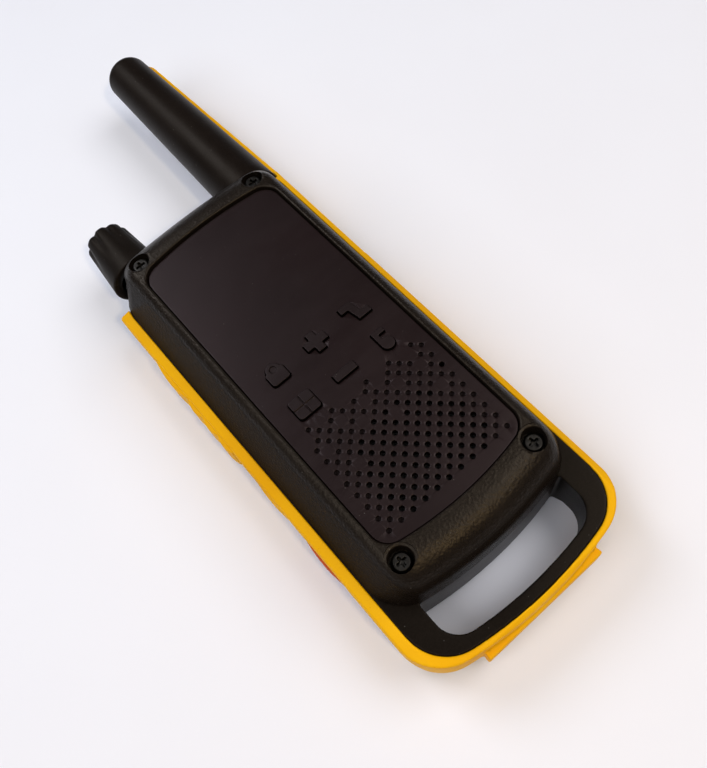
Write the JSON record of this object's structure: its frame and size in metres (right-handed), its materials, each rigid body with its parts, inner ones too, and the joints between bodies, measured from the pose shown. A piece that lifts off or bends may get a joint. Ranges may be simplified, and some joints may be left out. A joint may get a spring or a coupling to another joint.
{
  "type": "handheld two-way radio",
  "caption": "Handheld two-way radio with a fixed antenna, turning volume knob, pressing keys, ribbed talk bar, carrying loop, soft bumper band and a hinged battery door.",
  "frame": {"origin": "on the flat back above the battery door, halfway along the whole length", "axes": "+X to the right seen from the front, +Y towards the antenna tip, +Z out of the front face"},
  "size_m": [0.0591, 0.1935, 0.031],
  "materials": {
    "housing_black": "fine spark-eroded grain, satin",
    "panel_black": "smooth satin, slightly warm black",
    "key_black": "smooth satin",
    "knob_black": "fine grain, satin",
    "band_yellow": "soft-touch elastomer, semi matt",
    "key_orange": "soft-touch elastomer, semi matt",
    "seal_black": "matt",
    "rubber_grey": "matt silicone",
    "screw_black": "black oxide",
    "steel": "plain",
    "contact_plate": "nickel plated",
    "copper": "bare wire",
    "core_white": "moulded",
    "board_green": "solder mask",
    "part_dark": "moulded",
    "display_glass": "unlit display glass",
    "lens_clear": "clear",
    "led_yellow": "phosphor",
    "cone_paper": "pressed pulp",
    "mesh_black": "woven",
    "magnet_grey": "ferrite",
    "cell_blue": "shrink sleeve",
    "wire_red": "wire insulation"
  },
  "bodies": {
    "housing": {"front_shell": "housing_black", "front_panel": "panel_black", "rear_shell": "housing_black", "bumper_band": "band_yellow", "antenna_cover": "housing_black", "antenna_coil": "copper", "antenna_core": "core_white", "antenna_feed": "contact_plate", "volume_control": "part_dark", "bushing_nut": "steel", "housing_screws": "screw_black", "body_seal": "seal_black", "main_board": "board_green", "rf_shield": "steel", "board_screws": "steel", "display_frame": "core_white", "display_glass": "display_glass", "keypad_mat": "rubber_grey", "speaker_frame": "steel", "speaker_magnet": "magnet_grey", "speaker_mesh": "mesh_black", "microphone": "steel", "side_board": "board_green", "side_switches": "steel", "torch_lens": "lens_clear", "torch_led": "led_yellow", "battery_cells": "cell_blue", "battery_contacts": "contact_plate", "door_seal": "seal_black", "port_board": "board_green", "usb_socket": "steel", "headset_socket": "part_dark", "speaker_leads": "wire_red", "battery_leads": "wire_red"},
    "volume_knob": {"volume_knob": "knob_black", "volume_shaft": "steel"},
    "ptt_button": {"ptt_button": "band_yellow"},
    "torch_button": {"torch_button": "band_yellow"},
    "alert_button": {"alert_button": "key_orange"},
    "key_plus": {"key_plus": "key_black"},
    "key_minus": {"key_minus": "key_black"},
    "key_lock": {"key_lock": "key_black"},
    "key_menu": {"key_menu": "key_black"},
    "key_call": {"key_call": "key_black"},
    "key_scan": {"key_scan": "key_black"},
    "speaker_cone": {"speaker_cone": "cone_paper"},
    "battery_door": {"battery_door": "housing_black"},
    "door_latch": {"door_latch": "knob_black"},
    "port_cover": {"port_cover": "seal_black"}
  },
  "joints": [
    {"name": "knob_turn", "type": "hinge", "parent": "housing", "child": "volume_knob", "pos_m": [-0.0189, 0.0295, 0.016], "axis": [0, -1, 0], "range_deg": [0, 285]},
    {"name": "ptt_press", "type": "slide", "parent": "housing", "child": "ptt_button", "axis": [1, 0, 0], "range_m": [0, 0.0008]},
    {"name": "torch_press", "type": "slide", "parent": "housing", "child": "torch_button", "axis": [1, 0, 0], "range_m": [0, 0.0005]},
    {"name": "alert_press", "type": "slide", "parent": "housing", "child": "alert_button", "axis": [1, 0, 0], "range_m": [0, 0.0005]},
    {"name": "plus_press", "type": "slide", "parent": "housing", "child": "key_plus", "axis": [0, 0, -1], "range_m": [0, 0.0004]},
    {"name": "minus_press", "type": "slide", "parent": "housing", "child": "key_minus", "axis": [0, 0, -1], "range_m": [0, 0.0004]},
    {"name": "lock_press", "type": "slide", "parent": "housing", "child": "key_lock", "axis": [0, 0, -1], "range_m": [0, 0.0004]},
    {"name": "menu_press", "type": "slide", "parent": "housing", "child": "key_menu", "axis": [0, 0, -1], "range_m": [0, 0.0004]},
    {"name": "call_press", "type": "slide", "parent": "housing", "child": "key_call", "axis": [0, 0, -1], "range_m": [0, 0.0004]},
    {"name": "scan_press", "type": "slide", "parent": "housing", "child": "key_scan", "axis": [0, 0, -1], "range_m": [0, 0.0004]},
    {"name": "cone_travel", "type": "slide", "parent": "housing", "child": "speaker_cone", "axis": [0, 0, 1], "range_m": [-0.0003, 0.0003]},
    {"name": "door_swing", "type": "hinge", "parent": "housing", "child": "battery_door", "pos_m": [0, -0.0116, 0], "axis": [1, 0, 0], "range_deg": [0, 70]},
    {"name": "latch_slide", "type": "slide", "parent": "battery_door", "child": "door_latch", "axis": [0, -1, 0], "range_m": [0, 0.002]},
    {"name": "cover_swing", "type": "hinge", "parent": "housing", "child": "port_cover", "pos_m": [0.0284, 0.0169, 0.011], "axis": [0, 0, 1], "range_deg": [0, 100]}
  ]
}
